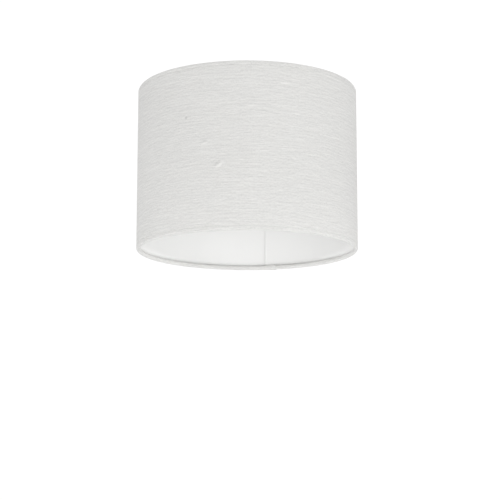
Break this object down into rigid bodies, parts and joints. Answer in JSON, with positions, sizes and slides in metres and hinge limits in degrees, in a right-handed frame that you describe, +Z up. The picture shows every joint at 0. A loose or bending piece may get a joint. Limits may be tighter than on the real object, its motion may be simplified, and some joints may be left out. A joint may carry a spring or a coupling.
{
  "type": "lamp shade",
  "caption": "White linen drum lamp shade with hems rolled round wire rings, a recessed spoked fitter washer and a loose reducer ring for a smaller lampholder.",
  "frame": {"origin": "middle of the foot, at the height of the bottom hem's lowest line", "axes": "+Z up along the drum's axis, +Y towards the back, where the overlap is, +X to the right as seen from the front"},
  "size_m": [0.2, 0.2, 0.149],
  "materials": {
    "linen": "matt woven linen, slubbed",
    "liner": "smooth satin styrene sheet",
    "tape": "clear double-sided tape",
    "frame": "white enamel on steel wire",
    "reducer": "moulded, satin"
  },
  "bodies": {
    "shade": {"linen_cover": "linen", "liner": "liner", "seam_tape": "tape", "bottom_ring": "frame", "bottom_ring_tape": "tape", "top_ring": "frame", "top_ring_tape": "tape", "spoke_1": "frame", "spoke_2": "frame", "spoke_3": "frame", "fitter_ring": "frame"},
    "reducer": {"reducer_ring": "reducer"}
  },
  "joints": [
    {"name": "reducer_lift", "type": "slide", "parent": "shade", "child": "reducer", "axis": [0, 0, 1], "range_m": [0, 0.04]}
  ]
}
